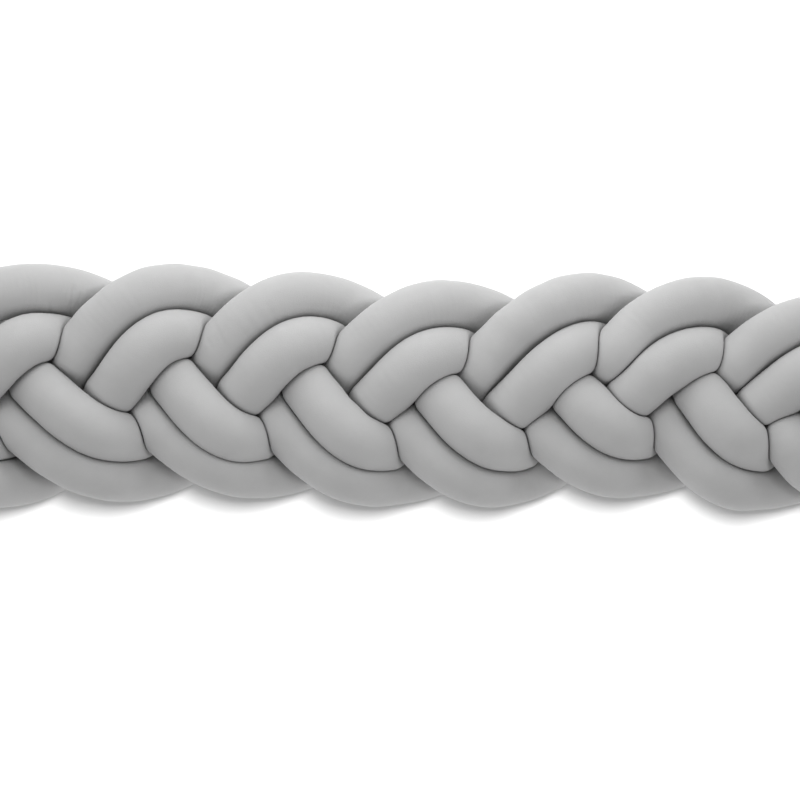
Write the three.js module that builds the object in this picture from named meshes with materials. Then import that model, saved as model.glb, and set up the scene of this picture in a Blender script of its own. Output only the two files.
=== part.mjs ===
// Braided cot bumper: six stuffed cloth tubes, laid in three pairs and plaited as a flat
// three-strand braid.  Each pair lies side by side all the way and is never twisted.
//
// Millimetres.  +X runs along the braid, +Y across it, +Z up from the surface that it lies on.
// The origin is on that surface, under the middle of the braid.

import * as THREE from 'three';

// ---- Driving sizes ----

const braidLength = 1170;     // end to end
const tubeRadius = 29.4;      // a stuffed tube where nothing presses on it
const layerRise = 27;         // how far a strand is carried forward and back of the braid's middle
const layerShoulder = 0.38;   // 0 is a plain sine from front to back; more makes it hold each layer longer
const layerLead = 0.07;       // the change of layer comes this much late, in radians of the wave
const innerLift = 13;         // at a turn, the inner tube of a pair stands this far forward
const layerSplit = 0.083;     // radians by which a coming turn's inner tube comes forward before its partner
const lateLag = -0.093;       // a tube on the outside of a coming turn falls or rises late
const earlyLag = 0.035;       // and its partner on the inside a little early
const closest = 29;           // tubes that cross are squeezed until their middles are this far apart
const restHeight = 57;        // from the braid's middle down to the surface; lower parts are pressed flat
const squeezeRounding = 8;    // how softly a pressed side turns into a free one
const giveWay = 0.15;         // where two tubes press, the lower one gives way by this share more
const bulge = 0.22;           // growth of the free side, as a share of the section pressed away
const crossingGap = 3.6;      // between two tubes that cross
const pairGap = 2.2;          // between the two tubes of a strand, which run side by side

// ---- Ends: the tubes run out straight, draw in a little and close in a round seam ----

const endRun = 160;           // over this length the plait straightens out
const endDrawIn = 0.1;        // share of the width lost at the very end
const endClosest = 42;        // the tubes' middles are this far apart there, as little squeezes them
const tipLength = 28;         // length of the rounded, closed end of a tube

// ---- Fineness of the solids ----

const pointSpacing = 9;       // along a centre line while it settles
const probeSpacing = 4;       // along a centre line where it limits its neighbours
const ringSpacing = 18;       // along a tube's surface
const ringSides = 12;
const tipAngles = [20, 45, 70];  // rings on a rounded end, in degrees from its tip
const settleRounds = 60;
const settleSmoothing = 12;

// ---- The turns of the plait ----
//
// One row for each turn, from left to right.  An arch is a turn at the +Y edge and a dip one at
// the -Y edge.  The first four columns give where the middle of each tube turns: [x, y].  riseLags
// says how much later than usual the outer and the inner tube rise to the arch.
const firstTurn = -1;
const turns = [
  { outerArch: [-571, 88], innerArch: [-538, 33], innerDip: [-468, -64], outerDip: [-443, -105],
    riseLags: [0, 0] },
  { outerArch: [-398, 106], innerArch: [-400, 50], innerDip: [-307, -54], outerDip: [-304, -98],
    riseLags: [0.11, -0.068] },
  { outerArch: [-250, 106], innerArch: [-248, 54], innerDip: [-170, -56], outerDip: [-158, -94],
    riseLags: [0.012, 0] },
  { outerArch: [-107, 97], innerArch: [-102, 46], innerDip: [-27, -64], outerDip: [-28, -103],
    riseLags: [0.006, 0] },
  { outerArch: [49, 88], innerArch: [48, 34], innerDip: [112, -63], outerDip: [101, -104],
    riseLags: [0, 0] },
  { outerArch: [209, 96], innerArch: [211, 38], innerDip: [252, -50], outerDip: [244, -94],
    riseLags: [0, -0.018] },
  { outerArch: [338, 92], innerArch: [328, 33], innerDip: [386, -61], outerDip: [380, -108],
    riseLags: [0.018, 0.042] },
  { outerArch: [478, 74], innerArch: [488, 28], innerDip: [522, -71], outerDip: [500, -114],
    riseLags: [0.018, 0.018] },
  { outerArch: [680, 95], innerArch: [675, 45], innerDip: [740, -60], outerDip: [730, -100],
    riseLags: [0, 0] },
];
const turnPitch = 144;        // mean distance between two arches
const turnsInPattern = 6;     // beyond the rows above the plait repeats after this many turns

// The row of a turn, and how far it is moved where the pattern repeats.
function turnRow(number) {
  const last = firstTurn + turns.length - 1;
  let repeats = 0;
  while (number + repeats * turnsInPattern < firstTurn) repeats += 1;
  while (number + repeats * turnsInPattern > last) repeats -= 1;
  const row = turns[number + repeats * turnsInPattern - firstTurn];
  return { ...row, moved: -repeats * turnsInPattern * turnPitch };
}

// ---- Centre lines ----

// The upper tube of a pair makes the outer arches and the inner dips, the lower tube the inner
// arches and the outer dips.  A strand that arches at one turn dips at the next one but comes
// back up only two turns after that.
const strandCount = 3;
const tubeKinds = {
  upper: { arch: 'outerArch', dip: 'innerDip', lift: -1, fallLag: lateLag, riseLag: earlyLag, riseColumn: 0 },
  lower: { arch: 'innerArch', dip: 'outerDip', lift: 1, fallLag: earlyLag, riseLag: lateLag, riseColumn: 1 },
};

function turningPoints(strand, kind) {
  const points = [];
  for (let number = strand - 2 * strandCount; number < turns.length + 2 * strandCount; number += strandCount) {
    const arch = turnRow(number);
    const dip = turnRow(number + 1);
    const riseLag = kind.riseLag + turnRow(number + strandCount).riseLags[kind.riseColumn];
    points.push({ x: arch[kind.arch][0] + arch.moved, y: arch[kind.arch][1], side: 1, lag: kind.fallLag });
    points.push({ x: dip[kind.dip][0] + dip.moved, y: dip[kind.dip][1], side: -1, lag: riseLag });
  }
  return points;
}

// Within endRun of an end the wave slows down and stops, so that the tubes run out straight.
function waveX(x) {
  const straightFrom = braidLength / 2 - endRun;
  const eased = endRun / 2 * (1 - (1 - pastStraightening(x)) ** 2);
  return Math.sign(x) * (Math.min(Math.abs(x), straightFrom) + eased);
}

// From 0 where the tubes start to straighten to 1 at the end.
function pastStraightening(x) {
  return Math.max(Math.abs(x) - braidLength / 2 + endRun, 0) / endRun;
}

// The plait's own wave: across it is a half cosine from turn to turn, and up and down a double
// wave, forward before each turn and back after it.
function pointOnWave(points, kind, x) {
  const along = waveX(x);
  const next = points.findIndex((point) => point.x > along);
  const from = points[next - 1];
  const to = points[next];
  const share = (along - from.x) / (to.x - from.x);
  const phase = Math.PI * (share + from.lag * Math.sin(Math.PI * share));
  const ahead = -kind.lift * from.side * layerSplit * Math.sin(phase);
  const swing = Math.sin(2 * (phase + ahead - layerLead));
  const layer = -swing * (1 + layerShoulder) / (1 + layerShoulder * Math.abs(swing));
  const lift = kind.lift * innerLift * Math.cos(phase) * from.side;
  const y = from.y + (to.y - from.y) * (1 - Math.cos(phase)) / 2;
  const width = 1 - endDrawIn * pastStraightening(x) ** 2;
  return new THREE.Vector3(x, y * width, layerRise * layer + lift);
}

function evenly(points, spacing) {
  const curve = new THREE.CatmullRomCurve3(points, false, 'centripetal');
  curve.arcLengthDivisions = 4 * points.length;
  return curve.getSpacedPoints(Math.round(curve.getLength() / spacing));
}

function centreLine(strand, kind) {
  const turning = turningPoints(strand, kind);
  const points = [];
  for (let x = -braidLength / 2; x <= braidLength / 2; x += pointSpacing / 2) {
    points.push(pointOnWave(turning, kind, x));
  }
  return evenly(points, pointSpacing);
}

// ---- Settling: tubes that cross push each other apart, mostly forward and back ----

function nearest(points, to) {
  let best = points[0];
  for (const point of points) {
    if (point.distanceToSquared(to) < best.distanceToSquared(to)) best = point;
  }
  return best;
}

function pushFrom(other, point) {
  const away = point.clone().sub(nearest(other, point));
  const distance = away.length();
  const wanted = closest + (endClosest - closest) * pastStraightening(point.x);
  if (distance >= wanted) return new THREE.Vector3();
  const flat = Math.hypot(away.x, away.y);
  const rise = Math.sqrt(Math.max(wanted ** 2 - flat ** 2, 0)) - Math.abs(away.z);
  const sideways = 0.15 * (wanted - distance) / Math.max(flat, 1e-6);
  const forward = 0.5 * Math.max(rise, 0) * (away.z < 0 ? -1 : 1);
  return new THREE.Vector3(away.x * sideways, away.y * sideways, forward);
}

function smoothed(moves) {
  return moves.map((move, i) => {
    const before = moves[Math.max(i - 1, 0)];
    const after = moves[Math.min(i + 1, moves.length - 1)];
    return move.clone().multiplyScalar(2).add(before).add(after).divideScalar(4);
  });
}

function settle(lines) {
  for (let round = 0; round < settleRounds; round += 1) {
    const allMoves = lines.map((line) => {
      const others = lines.filter((other) => other !== line);
      let moves = line.map((point) => {
        const move = new THREE.Vector3();
        for (const other of others) move.add(pushFrom(other, point));
        return move;
      });
      for (let pass = 0; pass < settleSmoothing; pass += 1) moves = smoothed(moves);
      return moves;
    });
    lines.forEach((line, i) => line.forEach((point, k) => point.add(allMoves[i][k])));
  }
}

// ---- Surfaces ----

// The smaller of two lengths, with the corner between them rounded off.
function roundedMin(a, b, rounding) {
  const overlap = Math.max(rounding - Math.abs(a - b), 0);
  return Math.min(a, b) - overlap * overlap / (4 * rounding);
}

// The distance from a centre, in one direction, at which a nearby point is as close as the centre.
// Below a higher point it is a little less, as the lower tube is the one that gives way.
function halfway(centre, direction, points) {
  let shortest = Infinity;
  for (const point of points) {
    const away = point.clone().sub(centre);
    const ahead = away.dot(direction);
    const share = 0.5 - giveWay * away.z / away.length();
    if (ahead > 0.01) shortest = Math.min(shortest, share * away.lengthSq() / ahead);
  }
  return shortest;
}

// How far the tube reaches in one direction: its own radius, or halfway to the tubes beside it,
// or to where its own bend would fold it onto itself, or to the surface that it lies on.
function reach(centre, direction, radius, neighbours) {
  const toPartner = halfway(centre, direction, neighbours.partner) - pairGap / 2;
  const toCrossing = halfway(centre, direction, neighbours.crossing) - crossingGap / 2;
  const pressed = roundedMin(radius, Math.min(toPartner, toCrossing), squeezeRounding);
  const unfolded = Math.min(pressed, 0.9 * halfway(centre, direction, neighbours.own));
  const toSurface = direction.z < 0 ? (centre.z + restHeight) / -direction.z : Infinity;
  return Math.min(unfolded, toSurface);
}

// The stuffing pressed away at one side pushes the free side out.
function bulgedRadius(centre, directions, radius, neighbours) {
  const area = directions.map((direction) => reach(centre, direction, radius, neighbours) ** 2);
  const kept = area.reduce((sum, part) => sum + part, 0) / (directions.length * radius ** 2);
  return radius * (1 + bulge * (1 - kept));
}

// Stations along a tube, from tip to tip: how far along, and the share of the full radius.
function stations(length) {
  const tip = tipAngles.map((degrees) => {
    const angle = THREE.MathUtils.degToRad(degrees);
    return { along: tipLength * (1 - Math.cos(angle)), share: Math.sin(angle) };
  });
  const count = Math.round((length - 2 * tipLength) / ringSpacing);
  const middle = [];
  for (let i = 0; i <= count; i += 1) {
    middle.push({ along: tipLength + (length - 2 * tipLength) * i / count, share: 1 });
  }
  const farTip = tip.map(({ along, share }) => ({ along: length - along, share })).reverse();
  return [...tip, ...middle, ...farTip];
}

function ringDirections(tangent) {
  const side = new THREE.Vector3(0, 0, 1).cross(tangent).normalize();
  const over = tangent.clone().cross(side);
  return Array.from({ length: ringSides }, (_, i) => {
    const angle = (i + 0.5) * 2 * Math.PI / ringSides;
    return side.clone().multiplyScalar(Math.cos(angle)).addScaledVector(over, Math.sin(angle));
  });
}

function tubeGeometry(line, partnerLine, crossingLines) {
  const curve = new THREE.CatmullRomCurve3(line, false, 'centripetal');
  curve.arcLengthDivisions = 8 * line.length;
  const length = curve.getLength();
  const own = evenly(line, probeSpacing);
  const partner = evenly(partnerLine, probeSpacing);
  const crossing = crossingLines.flatMap((other) => evenly(other, probeSpacing));
  const rings = stations(length).map(({ along, share }) => {
    const centre = curve.getPointAt(along / length);
    const isNear = (point) => point.distanceTo(centre) < 3.6 * tubeRadius;
    const neighbours = {
      own: own.filter((point) => isNear(point) && point.distanceTo(centre) > probeSpacing),
      partner: partner.filter(isNear),
      crossing: crossing.filter(isNear),
    };
    const directions = ringDirections(curve.getTangentAt(along / length));
    const radius = bulgedRadius(centre, directions, tubeRadius * share, neighbours);
    return directions.map((direction) => {
      return centre.clone().addScaledVector(direction, reach(centre, direction, radius, neighbours));
    });
  });
  return closedSkin(curve.getPointAt(0), rings, curve.getPointAt(1));
}

// A closed skin from one tip over the rings to the other tip.
function closedSkin(firstTip, rings, lastTip) {
  const vertices = [firstTip, ...rings.flat(), lastTip];
  const last = vertices.length - 1;
  const at = (ring, side) => 1 + ring * ringSides + side % ringSides;
  const triangles = [];
  for (let side = 0; side < ringSides; side += 1) {
    triangles.push(0, at(0, side + 1), at(0, side));
    triangles.push(last, at(rings.length - 1, side), at(rings.length - 1, side + 1));
    for (let ring = 0; ring < rings.length - 1; ring += 1) {
      triangles.push(at(ring, side), at(ring, side + 1), at(ring + 1, side + 1));
      triangles.push(at(ring, side), at(ring + 1, side + 1), at(ring + 1, side));
    }
  }
  const geometry = new THREE.BufferGeometry();
  geometry.setAttribute('position', new THREE.Float32BufferAttribute(vertices.flatMap((v) => v.toArray()), 3));
  geometry.setIndex(triangles);
  geometry.computeVertexNormals();
  return geometry;
}

// ---- The braid ----

function greyCloth() {
  return new THREE.MeshStandardMaterial({ color: 0xb4b4b5, roughness: 0.95, metalness: 0 });
}

function makeBraid() {
  const tubes = [];
  for (let strand = 0; strand < strandCount; strand += 1) {
    for (const [kindName, kind] of Object.entries(tubeKinds)) {
      tubes.push({ name: `tube_${strand + 1}_${kindName}`, strand, line: centreLine(strand, kind) });
    }
  }
  settle(tubes.map((tube) => tube.line));

  const braid = new THREE.Group();
  for (const tube of tubes) {
    const partner = tubes.find((other) => other !== tube && other.strand === tube.strand);
    const crossing = tubes.filter((other) => other.strand !== tube.strand);
    const geometry = tubeGeometry(tube.line, partner.line, crossing.map((other) => other.line));
    const mesh = new THREE.Mesh(geometry, greyCloth());
    mesh.name = tube.name;
    braid.add(mesh);
  }

  const box = new THREE.Box3().setFromObject(braid);
  const middle = box.getCenter(new THREE.Vector3());
  for (const mesh of braid.children) mesh.geometry.translate(-middle.x, -middle.y, restHeight);
  return braid;
}

export default makeBraid();
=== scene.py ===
# Braided cot bumper: six stuffed velvet tubes, laid in three pairs and plaited as a flat braid.
# Blender's units are metres.  The sizes below are millimetres, and become metres where a mesh is made.
# +X runs along the braid, +Y across it, +Z up from the surface that it lies on.

import math

import bpy
import numpy as np
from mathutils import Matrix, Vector


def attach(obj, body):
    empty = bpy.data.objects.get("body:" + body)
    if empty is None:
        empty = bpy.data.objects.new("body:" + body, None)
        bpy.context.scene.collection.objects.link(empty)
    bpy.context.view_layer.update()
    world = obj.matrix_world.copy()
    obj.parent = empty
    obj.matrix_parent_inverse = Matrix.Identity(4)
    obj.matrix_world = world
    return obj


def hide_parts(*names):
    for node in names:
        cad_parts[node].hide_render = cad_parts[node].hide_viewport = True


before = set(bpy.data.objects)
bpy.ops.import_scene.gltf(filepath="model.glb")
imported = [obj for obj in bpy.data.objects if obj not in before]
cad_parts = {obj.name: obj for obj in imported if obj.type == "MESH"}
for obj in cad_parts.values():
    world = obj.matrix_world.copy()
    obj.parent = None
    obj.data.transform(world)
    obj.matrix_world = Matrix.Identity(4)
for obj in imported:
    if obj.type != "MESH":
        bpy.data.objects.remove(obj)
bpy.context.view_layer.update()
mm = 0.001
print("frame loaded")

# The plait: how the middle lines of the tubes run.
plait = {
    "length": 1170,          # end to end
    "strands": 3,            # each is a pair of tubes
    "layerRise": 27,         # how far a strand is carried forward and back of the braid's middle
    "layerShoulder": 0.38,   # 0 is a plain sine; more makes a strand hold each layer longer
    "layerLead": 0.07,       # the change of layer comes this much late, in radians of the wave
    "innerLift": 13,         # at a turn, the inner tube of a pair stands this far forward
    "layerSplit": 0.083,     # radians by which a turn's inner tube comes forward before its partner
    "lateLag": -0.093,       # a tube on the outside of a coming turn falls or rises late
    "earlyLag": 0.035,       # and its partner on the inside a little early
    "closest": 29,           # crossing tubes are squeezed until their middles are this far apart
    "restHeight": 57,        # from the braid's middle down to the surface
    "endRun": 160,           # over this length the plait straightens out at each end
    "endDrawIn": 0.1,        # share of the width lost at the very end
    "endClosest": 42,        # the middles of the tubes are this far apart there
    "pointSpacing": 9,       # along a centre line while it settles
    "settleRounds": 60,
    "settleSmoothing": 12,
    "pushSideways": 0.15,    # share of an overlap that is cleared sideways in a round
    "pushForward": 0.5,      # and forward or back
    "fineSpacing": 1,        # along a centre line once it has settled
    "bendSmoothing": 100,    # rounds of smoothing of a settled line
    "firstTurn": -1,         # the number of the first row below
    "turnPitch": 144,        # mean distance between two arches
    "turnsInPattern": 6,     # beyond the rows below the plait repeats after this many turns
}

# One row for each turn, from left to right: where the middle of each tube turns, (x, y), and how much
# later than usual the outer and the inner tube rise to the arch.
turns = [
    {"outerArch": (-571, 88), "innerArch": (-538, 33), "innerDip": (-468, -64), "outerDip": (-443, -105),
     "riseLags": (0, 0)},
    {"outerArch": (-398, 106), "innerArch": (-400, 50), "innerDip": (-307, -54), "outerDip": (-304, -98),
     "riseLags": (0.11, -0.068)},
    {"outerArch": (-250, 106), "innerArch": (-248, 54), "innerDip": (-170, -56), "outerDip": (-158, -94),
     "riseLags": (0.012, 0)},
    {"outerArch": (-107, 97), "innerArch": (-102, 46), "innerDip": (-27, -64), "outerDip": (-28, -103),
     "riseLags": (0.006, 0)},
    {"outerArch": (49, 88), "innerArch": (48, 34), "innerDip": (112, -63), "outerDip": (101, -104),
     "riseLags": (0, 0)},
    {"outerArch": (209, 96), "innerArch": (211, 38), "innerDip": (252, -50), "outerDip": (244, -94),
     "riseLags": (0, -0.018)},
    {"outerArch": (338, 92), "innerArch": (328, 33), "innerDip": (386, -61), "outerDip": (380, -108),
     "riseLags": (0.018, 0.042)},
    {"outerArch": (478, 74), "innerArch": (488, 28), "innerDip": (522, -71), "outerDip": (500, -114),
     "riseLags": (0.018, 0.018)},
    {"outerArch": (680, 95), "innerArch": (675, 45), "innerDip": (740, -60), "outerDip": (730, -100),
     "riseLags": (0, 0)},
]

# The upper tube of a pair makes the outer arches and the inner dips, the lower tube the others.
tubeKinds = {
    "upper": {"arch": "outerArch", "dip": "innerDip", "lift": -1,
              "fall": "lateLag", "rise": "earlyLag", "riseColumn": 0},
    "lower": {"arch": "innerArch", "dip": "outerDip", "lift": 1,
              "fall": "earlyLag", "rise": "lateLag", "riseColumn": 1},
}


def turnRow(number):
    # the row of a turn, and how far it is moved where the pattern repeats
    last = plait["firstTurn"] + len(turns) - 1
    repeats = 0
    while number + repeats * plait["turnsInPattern"] < plait["firstTurn"]:
        repeats += 1
    while number + repeats * plait["turnsInPattern"] > last:
        repeats -= 1
    row = turns[number + repeats * plait["turnsInPattern"] - plait["firstTurn"]]
    return row, -repeats * plait["turnsInPattern"] * plait["turnPitch"]


def pastStraightening(x):
    # 0 where the tubes start to straighten, 1 at the end
    return np.maximum(np.abs(x) - plait["length"] / 2 + plait["endRun"], 0) / plait["endRun"]


def waveX(x):
    # the place on the wave, which is drawn out where the tubes straighten
    straightFrom = plait["length"] / 2 - plait["endRun"]
    eased = plait["endRun"] / 2 * (1 - (1 - pastStraightening(x)) ** 2)
    return np.sign(x) * (np.minimum(np.abs(x), straightFrom) + eased)


def pointsOnWave(strand, kind, x):
    # across the braid a half cosine from turn to turn, up and down a double wave
    turning = []
    spare = plait["turnsInPattern"]
    for number in range(strand - spare, len(turns) + spare, plait["strands"]):
        arch, archMoved = turnRow(number)
        dip, dipMoved = turnRow(number + 1)
        nextArch = turnRow(number + plait["strands"])[0]
        riseLag = plait[kind["rise"]] + nextArch["riseLags"][kind["riseColumn"]]
        archX, archY = arch[kind["arch"]]
        dipX, dipY = dip[kind["dip"]]
        turning.append((archX + archMoved, archY, 1, plait[kind["fall"]]))
        turning.append((dipX + dipMoved, dipY, -1, riseLag))
    turning = np.array(turning, float)
    along = waveX(x)
    after = np.searchsorted(turning[:, 0], along, side="right")
    start, stop = turning[after - 1], turning[after]
    share = (along - start[:, 0]) / (stop[:, 0] - start[:, 0])
    phase = np.pi * (share + start[:, 3] * np.sin(np.pi * share))
    ahead = -kind["lift"] * start[:, 2] * plait["layerSplit"] * np.sin(phase)
    swing = np.sin(2 * (phase + ahead - plait["layerLead"]))
    layer = -swing * (1 + plait["layerShoulder"]) / (1 + plait["layerShoulder"] * np.abs(swing))
    lift = kind["lift"] * plait["innerLift"] * np.cos(phase) * start[:, 2]
    y = start[:, 1] + (stop[:, 1] - start[:, 1]) * (1 - np.cos(phase)) / 2
    width = 1 - plait["endDrawIn"] * pastStraightening(x) ** 2
    return np.column_stack([x, y * width, plait["layerRise"] * layer + lift])


def evenly(points, spacing):
    # a smooth curve through the points, cut into equal steps
    ends = np.vstack([2 * points[0] - points[1], points, 2 * points[-1] - points[-2]])
    a, b, c, d = ends[:-3], ends[1:-2], ends[2:-1], ends[3:]
    t = np.linspace(0, 1, 9)[:-1, None, None]
    fine = b + t / 2 * (c - a + t * (2 * a - 5 * b + 4 * c - d + t * (3 * (b - c) + d - a)))
    fine = np.vstack([fine.transpose(1, 0, 2).reshape(-1, 3), points[-1:]])
    gone = np.concatenate([[0], np.cumsum(np.linalg.norm(np.diff(fine, axis=0), axis=1))])
    steps = np.linspace(0, gone[-1], round(gone[-1] / spacing) + 1)
    return np.column_stack([np.interp(steps, gone, fine[:, k]) for k in range(3)])


def smoothedAlong(values, rounds):
    # each value drawn towards the ones before and after it
    for _ in range(rounds):
        before = np.concatenate([values[:1], values[:-1]])
        after = np.concatenate([values[1:], values[-1:]])
        values = (before + 2 * values + after) / 4
    return values


def pushes(line, other):
    # crossing tubes push each other apart, mostly forward and back
    toOther = line[:, None, :] - other[None, :, :]
    away = toOther[np.arange(len(line)), (toOther ** 2).sum(2).argmin(1)]
    distance = np.linalg.norm(away, axis=1)
    atEnd = pastStraightening(line[:, 0])
    wanted = plait["closest"] + (plait["endClosest"] - plait["closest"]) * atEnd
    flat = np.maximum(np.hypot(away[:, 0], away[:, 1]), 1e-6)
    rise = np.sqrt(np.maximum(wanted ** 2 - flat ** 2, 0)) - np.abs(away[:, 2])
    sideways = plait["pushSideways"] * (wanted - distance) / flat
    forward = plait["pushForward"] * np.maximum(rise, 0) * np.where(away[:, 2] < 0, -1, 1)
    moves = np.column_stack([away[:, 0] * sideways, away[:, 1] * sideways, forward])
    return np.where((distance < wanted)[:, None], moves, 0)


def settledLines():
    half, spacing = plait["length"] / 2, plait["pointSpacing"]
    x = np.arange(-half, half + 0.01, spacing / 2)
    lines = {}
    for strand in range(plait["strands"]):
        for name, kind in tubeKinds.items():
            lines[f"tube_{strand + 1}_{name}"] = evenly(pointsOnWave(strand, kind, x), spacing)
    for _ in range(plait["settleRounds"]):
        moves = {}
        for name, line in lines.items():
            total = sum(pushes(line, other) for key, other in lines.items() if key != name)
            moves[name] = smoothedAlong(total, plait["settleSmoothing"])
        for name in lines:
            lines[name] = lines[name] + moves[name]
    for name, line in lines.items():
        # the stuffing rounds off each bend; the ends keep their places
        fine = evenly(line, plait["fineSpacing"])
        straight = np.linspace(fine[0], fine[-1], len(fine))
        lines[name] = straight + smoothedAlong(fine - straight, plait["bendSmoothing"])
    return lines


lines = settledLines()
print("centre lines settled")

# The stuffed tubes: a round section, pressed flat by its neighbours, its own bend and the surface.
stuffing = {
    "radius": 29.4,          # where nothing presses on the tube
    "squeezeRounding": 4,    # how softly a pressed side turns into a free one
    "cornerRounding": 8,     # where three tubes meet they leave a small hollow
    "bendRounding": 8,       # and where its own bend would fold it
    "floorRounding": 6,
    "bendShare": 0.88,       # how near a tube comes to folding on the inside of its own bend
    "bendSmoothing": 12,     # rounds of smoothing of that limit along the tube
    "giveWay": 0.15,         # where two tubes press, the lower one gives way by this share more
    "bulge": 0.22,           # growth of the free side, as a share of the section pressed away
    "bulgeSmoothing": 6,
    "gap": 0.6,              # left between the covers of two tubes that press on each other
    "probeSpacing": 2,       # along a centre line where it limits its neighbours
    "neighbourReach": 3.6,   # radii within which a neighbour counts
    "noLimit": 1000,         # stands for a side that nothing presses on
    "ringSpacing": 1.8,
    "ringSides": 88,
    "seamTurn": -0.25,       # the first side points down, so that the cover's own seam is underneath
    "tipLength": 28,         # the rounded, closed end of a tube
    "tipRings": 16,
    "fill": 0.75,            # fairly tight
}


def roundedMin(a, b, rounding):
    # the smaller of two limits, with the corner between them rounded
    overlap = np.maximum(rounding - np.abs(a - b), 0)
    return np.minimum(a, b) - overlap ** 2 / (4 * rounding)


def halfway(centre, directions, points, giveWay=0, skip=0):
    # how far each direction runs before a nearby point is as close as the centre, or a little less
    # below a higher point
    away = points - centre
    squared = (away ** 2).sum(1)
    reach = stuffing["neighbourReach"] * stuffing["radius"]
    near = (squared < reach ** 2) & (squared > skip ** 2)
    if not near.any():
        return np.full(len(directions), float(stuffing["noLimit"]))
    ahead = directions @ away[near].T
    share = 0.5 - giveWay * away[near][:, 2] / np.sqrt(squared[near])
    limit = share * squared[near] / np.maximum(ahead, 0.01)
    return np.where(ahead > 0.01, limit, stuffing["noLimit"]).min(1)


def stations(length):
    # along the tube, from tip to tip: how far along, and the share of the full radius
    tipLength = stuffing["tipLength"]
    angle = np.linspace(0, np.pi / 2, stuffing["tipRings"] + 2)[1:]
    tip = np.column_stack([tipLength * (1 - np.cos(angle)), np.sin(angle)])
    count = round((length - 2 * tipLength) / stuffing["ringSpacing"])
    middle = np.linspace(tipLength, length - tipLength, count + 1)[1:-1]
    far = np.column_stack([length - tip[:, 0], tip[:, 1]])[::-1]
    return np.vstack([tip, np.column_stack([middle, np.ones(len(middle))]), far])


def ringsOf(name):
    # rings of directions round the centre line, and how far the stuffing reaches along each
    line = evenly(lines[name], plait["fineSpacing"])
    length = len(line) - 1
    steps = np.arange(len(line))
    tangents = np.gradient(line, axis=0)
    tangents /= np.linalg.norm(tangents, axis=1)[:, None]
    stretch = np.linalg.norm(np.diff(line, axis=0), axis=1).sum() / length
    probes = {key: evenly(other, stuffing["probeSpacing"]) for key, other in lines.items()}
    own = probes.pop(name)
    places = stations(length * stretch)
    at = places[:, 0] / stretch
    centres = np.column_stack([np.interp(at, steps, line[:, k]) for k in range(3)])
    along = np.column_stack([np.interp(at, steps, tangents[:, k]) for k in range(3)])
    side = np.cross([0, 0, 1], along)
    side /= np.linalg.norm(side, axis=1)[:, None]
    over = np.cross(along, side)
    turn = (np.arange(stuffing["ringSides"]) / stuffing["ringSides"] + stuffing["seamTurn"]) * 2 * np.pi
    directions = (side[:, None, :] * np.cos(turn)[None, :, None]
                  + over[:, None, :] * np.sin(turn)[None, :, None])
    pressed = np.empty(directions.shape[:2])
    unfolded = np.empty_like(pressed)
    for i, centre in enumerate(centres):
        pressed[i] = stuffing["noLimit"]
        for other in probes.values():
            toOther = halfway(centre, directions[i], other, stuffing["giveWay"]) - stuffing["gap"] / 2
            pressed[i] = roundedMin(pressed[i], toOther, stuffing["cornerRounding"])
        toOwn = halfway(centre, directions[i], own, skip=2 * stuffing["probeSpacing"])
        unfolded[i] = stuffing["bendShare"] * toOwn
    # the bend's own limit comes and goes gradually along the tube
    unfolded = np.minimum(unfolded, stuffing["radius"] + 2 * stuffing["bendRounding"])
    unfolded = smoothedAlong(unfolded, stuffing["bendSmoothing"])
    height = centres[:, None, 2] + plait["restHeight"]
    down = np.minimum(directions[:, :, 2], -1e-6)
    toFloor = np.where(directions[:, :, 2] < 0, height / -down, stuffing["noLimit"])

    def reach(radius):
        free = roundedMin(radius, pressed, stuffing["squeezeRounding"])
        free = roundedMin(free, unfolded, stuffing["bendRounding"])
        return roundedMin(free, toFloor, stuffing["floorRounding"])

    radius = stuffing["radius"] * places[:, 1:2] * np.ones_like(pressed)
    kept = (reach(radius) ** 2).mean(1) / radius[:, 0] ** 2
    growth = smoothedAlong(1 + stuffing["bulge"] * (1 - kept), stuffing["bulgeSmoothing"])
    reached = np.minimum(reach(radius * growth[:, None]), toFloor)
    return centres[:, None, :] + directions * reached[:, :, None], directions, places


# What the cloth does on the stuffing.
cloth = {
    "unevenness": 0.25,      # mm; loose fibre never fills a tube quite evenly
    "unevenSpacing": 42,
    "drawDepth": 0.12,       # fine folds across the tube, where a bend draws the cloth together
    "drawSpacing": 7.5,
    "drawPatch": 90,         # and how often they come and go along it
    "seamDepth": 1.2,        # the sewn seam that runs along the underside
    "seamWidth": 2.2,
    "pleats": 16,            # gathered into the round seam at each tip
    "pleatDepth": 0.9,
    "tipDimple": 3,          # the gathering pulls the tip in
    "ridgeHeight": 0.4,      # the cloth stands up beside a crease, as a share of its depth
    "ridgeSpread": 3,        # over this many of its widths
    "creaseFade": 0.1,       # share of the fading that is left out at each end of a crease
    "topFade": 3,            # how fast a crease starts, from the sides of the tube to its top
}

# Creases in the cover, seen from above: the tube, both ends (x, y), half the width and the depth.
creases = [
    {"tube": "tube_1_upper", "from": (-359.5, 112.0), "to": (-365.5, 79.0), "width": 1.5, "depth": 1.9},
    {"tube": "tube_1_upper", "from": (-367.5, 107.0), "to": (-370.0, 88.0), "width": 1.5, "depth": 1.0},
    {"tube": "tube_1_upper", "from": (-350.5, 109.0), "to": (-357.5, 86.0), "width": 1.5, "depth": 1.3},
    {"tube": "tube_1_upper", "from": (-344.5, 115.0), "to": (-349.0, 101.0), "width": 1.5, "depth": 0.7},
    {"tube": "tube_1_upper", "from": (-386.0, 93.0), "to": (-387.5, 80.0), "width": 2.0, "depth": 0.9},
    {"tube": "tube_3_upper", "from": (-212.5, 54.0), "to": (-204.5, 39.5), "width": 1.5, "depth": 0.8},
    {"tube": "tube_3_upper", "from": (-202.5, 67.0), "to": (-188.0, 39.5), "width": 1.8, "depth": 0.6},
]


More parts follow.
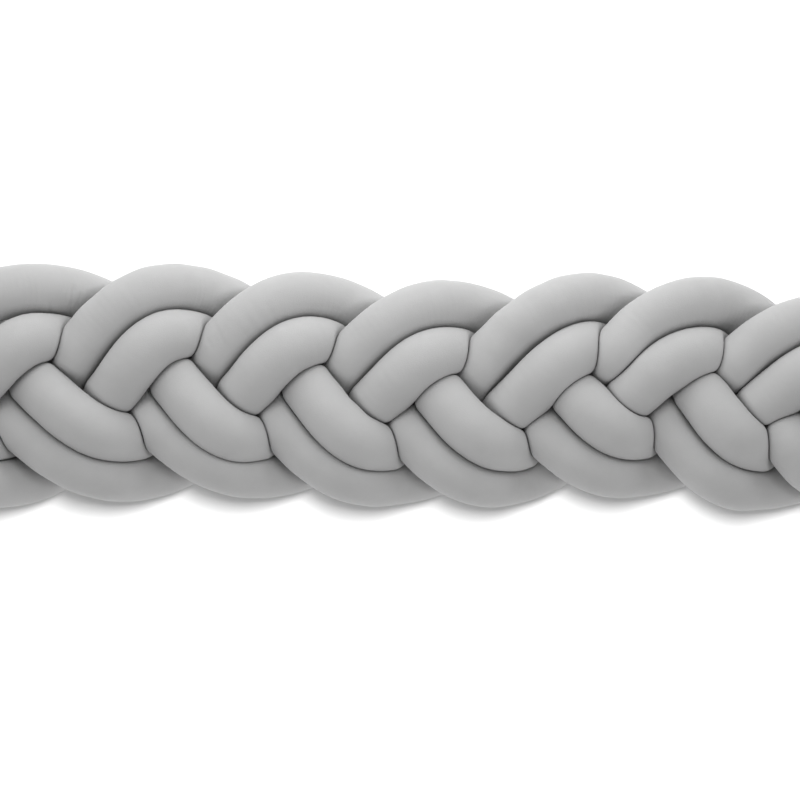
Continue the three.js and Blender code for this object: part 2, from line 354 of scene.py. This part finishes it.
def waves(along, around, seed, spacing, count=7):
    # a smooth, repeatable unevenness of about plus or minus one
    drawn = np.random.default_rng(seed)
    total = 0
    for _ in range(count):
        slow, timesRound = drawn.uniform(0.6, 1.4), drawn.integers(0, 3)
        phase, turnPhase = drawn.uniform(0, 2 * np.pi, 2)
        lengthwise = np.sin(2 * np.pi * along * slow / spacing + phase)
        total = total + lengthwise * np.cos(timesRound * around + turnPhase)
    return total / count ** 0.5


def clothRelief(name, points, directions, places):
    # how far the cover stands off its smooth shape, in mm
    number = sorted(lines).index(name)
    sides = points.shape[1]
    along, full = places[:, 0:1], places[:, 1:2]
    around = np.arange(sides)[None, :] * 2 * np.pi / sides
    relief = cloth["unevenness"] * waves(along, around, 10 + number, cloth["unevenSpacing"])
    draws = waves(along, around, 20 + number, cloth["drawSpacing"])
    drawn = (1 + waves(along, around, 30 + number, cloth["drawPatch"])) / 2
    relief += cloth["drawDepth"] * draws * drawn
    fromSeam = np.minimum(around, 2 * np.pi - around) * stuffing["radius"]
    relief -= cloth["seamDepth"] * np.exp(-(fromSeam / cloth["seamWidth"]) ** 2)
    atTip = np.sqrt(1 - np.minimum(full, 1) ** 2)
    relief += cloth["pleatDepth"] * atTip * np.cos(cloth["pleats"] * around) * full
    plan = points[:, :, :2]
    onTop = np.clip(directions[:, :, 2] * cloth["topFade"], 0, 1)
    for crease in creases:
        if crease["tube"] == name:
            start, stop = np.array(crease["from"]), np.array(crease["to"])
            run = np.linalg.norm(stop - start)
            share = (plan - start) @ (stop - start) / run ** 2
            beside = plan - start - np.clip(share, 0, 1)[:, :, None] * (stop - start)
            faded = share * (1 - 2 * cloth["creaseFade"]) + cloth["creaseFade"]
            fade = np.sin(np.pi * np.clip(faded, 0, 1))
            apart = (beside ** 2).sum(2)
            fold = np.exp(-apart / crease["width"] ** 2) * fade
            ridge = np.exp(-apart / (cloth["ridgeSpread"] * crease["width"]) ** 2) * fade
            relief -= crease["depth"] * (fold - cloth["ridgeHeight"] * ridge) * onTop
    return relief


def tubeMesh(name, points, directions, places, shift):
    relief = clothRelief(name, points, directions, places)
    points = points + directions * relief[:, :, None]
    points[:, :, 2] = np.maximum(points[:, :, 2], -plait["restHeight"])
    rings, sides = points.shape[:2]
    inward = lines[name][[2, -3]] - lines[name][[0, -1]]
    inward /= np.linalg.norm(inward, axis=1)[:, None]
    tips = lines[name][[0, -1]] + cloth["tipDimple"] * inward
    vertices = (np.vstack([points.reshape(-1, 3), tips]) + shift) * mm
    ring, part = np.meshgrid(np.arange(rings - 1), np.arange(sides), indexing="ij")
    ring, part = ring.ravel(), part.ravel()
    nextPart = (part + 1) % sides
    quads = np.column_stack([ring * sides + part, (ring + 1) * sides + part,
                             (ring + 1) * sides + nextPart, ring * sides + nextPart])
    part = np.arange(sides)
    nextPart = (part + 1) % sides
    lastRing = (rings - 1) * sides
    first = np.column_stack([np.full(sides, rings * sides), part, nextPart])
    last = np.column_stack([np.full(sides, rings * sides + 1), lastRing + nextPart, lastRing + part])
    mesh = bpy.data.meshes.new(name + "_cover")
    mesh.from_pydata(vertices.tolist(), [], quads.tolist() + first.tolist() + last.tolist())
    mesh.shade_smooth()
    mesh.update()
    return mesh


def linear(hexColour):
    # sRGB to linear
    channels = [int(hexColour[i:i + 2], 16) / 255 for i in (1, 3, 5)]
    return tuple(c / 12.92 if c <= 0.04045 else ((c + 0.055) / 1.055) ** 2.4 for c in channels) + (1,)


def addNode(material, kind, links=None, **settings):
    node = material.node_tree.nodes.new(kind)
    for key, value in settings.items():
        setattr(node, key, value)
    for socket, value in (links or {}).items():
        if isinstance(value, bpy.types.NodeSocket):
            material.node_tree.links.new(value, node.inputs[socket])
        else:
            node.inputs[socket].default_value = value
    return node


velvet = {
    "pile": "#bcbcbc",         # light grey, dyed through
    "pileBrushed": "#b4b4b4",  # where the pile lies the other way
    "roughness": 0.92,
    "sheen": 0.15,
    "sheenRoughness": 0.45,
    "ior": 1.46,               # of cotton fibre, somewhat under its 1.55 for the air in the pile
    "specular": 0.25,          # a pile gives hardly any gloss
    "tuftSize": 1.4,           # mm; the real pile is about 0.3, too fine to show
    "tuftHeight": 0.4,         # mm
    "tuftStrength": 0.6,
    "patchSize": 24,           # mm; marks left by hands and by the stuffing
}


def cottonVelvet():
    # cotton velvet, brushed: a short pile that scatters light and brightens along its edges
    material = bpy.data.materials.new("cottonVelvetGrey")
    material.use_nodes = True
    material.node_tree.nodes.clear()
    place = addNode(material, "ShaderNodeTexCoord").outputs["Object"]
    patches = addNode(material, "ShaderNodeTexNoise", {
        "Vector": place, "Scale": 1 / (velvet["patchSize"] * mm), "Detail": 3.0, "Roughness": 0.55})
    colour = addNode(material, "ShaderNodeMix", {
        "Factor": patches.outputs["Fac"],
        "A": linear(velvet["pile"]), "B": linear(velvet["pileBrushed"])}, data_type="RGBA")
    tufts = addNode(material, "ShaderNodeTexNoise", {
        "Vector": place, "Scale": 1 / (velvet["tuftSize"] * mm), "Detail": 2.0, "Roughness": 0.6})
    bump = addNode(material, "ShaderNodeBump", {
        "Height": tufts.outputs["Fac"],
        "Strength": velvet["tuftStrength"], "Distance": velvet["tuftHeight"] * mm})
    shader = addNode(material, "ShaderNodeBsdfPrincipled", {
        "Base Color": colour.outputs["Result"], "Normal": bump.outputs["Normal"],
        "Roughness": velvet["roughness"], "IOR": velvet["ior"], "Specular IOR Level": velvet["specular"],
        "Sheen Weight": velvet["sheen"], "Sheen Roughness": velvet["sheenRoughness"],
        "Sheen Tint": linear("#ffffff")})
    addNode(material, "ShaderNodeOutputMaterial", {"Surface": shader.outputs["BSDF"]})
    return material


def link(name, data):
    made = bpy.data.objects.new(name, data)
    bpy.context.scene.collection.objects.link(made)
    return made


stuffed = {name: ringsOf(name) for name in lines}
print("tubes stuffed")

# the braid is centred on its own box, as its solids are
allPoints = np.vstack([points.reshape(-1, 3) for points, _, _ in stuffed.values()])
middle = (allPoints.min(0) + allPoints.max(0)) / 2
shift = np.array([-middle[0], -middle[1], plait["restHeight"]])
cover = cottonVelvet()
for name, (points, directions, places) in stuffed.items():
    piece = link(name + "_cover", tubeMesh(name, points, directions, places, shift))
    piece.data.materials.append(cover)
    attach(piece, "root")
    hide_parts(name)
print("covers made")

# The floor, the light and the camera.
studio = {
    "floorHalf": 3.0,          # metres
    "floorColour": "#b8b8b8",
    "floorRoughness": 0.9,
    "floorGlow": 0.12,
    "skyColour": "#ffffff",
    "skyStrength": 0.57,
    "lens": 150,
    "viewWidth": 0.88,         # metres across the view at the height of the tubes' edges
    "edgeHeight": 0.07,
    "viewMiddle": (0, -15.4),  # mm, before the braid is centred on its box
    "farthest": 20,            # metres that the camera sees
}

# Softboxes: degrees round from the arches' side and up from the floor, metres away and across, watts.
# The last one lights only the floor, so that the paper is white right up to a short shadow.
softboxes = [
    {"name": "left", "round": -60, "up": 25, "away": 3.0, "size": 1.5, "power": 18},
    {"name": "right", "round": 60, "up": 25, "away": 3.0, "size": 1.5, "power": 13.5},
    {"name": "low", "round": 0, "up": 20, "away": 1.2, "size": 0.6, "power": 4.5},
    {"name": "top", "round": 0, "up": 80, "away": 0.9, "size": 0.4, "power": 1.0},
    {"name": "paper", "round": 0, "up": 79, "away": 3.0, "size": 0.9, "power": 160},
]


def makeFloor():
    half = studio["floorHalf"]
    mesh = bpy.data.meshes.new("floor")
    corners = [(-half, -half, 0), (half, -half, 0), (half, half, 0), (-half, half, 0)]
    mesh.from_pydata(corners, [], [(0, 1, 2, 3)])
    material = bpy.data.materials.new("studioPaperWhite")
    material.use_nodes = True
    shader = material.node_tree.nodes["Principled BSDF"]
    shader.inputs["Base Color"].default_value = linear(studio["floorColour"])
    shader.inputs["Roughness"].default_value = studio["floorRoughness"]
    shader.inputs["Emission Color"].default_value = linear("#ffffff")
    shader.inputs["Emission Strength"].default_value = studio["floorGlow"]
    mesh.materials.append(material)
    floor = link("floor", mesh)
    return floor


def makeLights(floor):
    world = bpy.data.worlds.new("studio")
    world.use_nodes = True
    background = world.node_tree.nodes["Background"]
    background.inputs["Color"].default_value = linear(studio["skyColour"])
    background.inputs["Strength"].default_value = studio["skyStrength"]
    bpy.context.scene.world = world
    onlyFloor = bpy.data.collections.new("onlyFloor")
    onlyFloor.objects.link(floor)
    for box in softboxes:
        data = bpy.data.lights.new(box["name"], "AREA")
        data.size = box["size"]
        data.energy = box["power"]
        lamp = link(box["name"] + "Softbox", data)
        side, up = math.radians(box["round"]), math.radians(box["up"])
        towards = Vector((math.sin(side) * math.cos(up), math.cos(side) * math.cos(up), math.sin(up)))
        lamp.location = towards * box["away"]
        lamp.rotation_euler = towards.to_track_quat("Z", "Y").to_euler()
        if box["name"] == "paper":
            lamp.light_linking.receiver_collection = onlyFloor


def makeCamera():
    data = bpy.data.cameras.new("camera")
    data.lens = studio["lens"]
    camera = link("camera", data)
    distance = studio["viewWidth"] * data.lens / data.sensor_width
    camera.location = ((studio["viewMiddle"][0] + shift[0]) * mm,
                       (studio["viewMiddle"][1] + shift[1]) * mm, distance + studio["edgeHeight"])
    data.clip_end = studio["farthest"]
    bpy.context.scene.camera = camera


makeLights(makeFloor())
makeCamera()
bpy.context.scene.view_settings.view_transform = "Standard"
print("studio ready")
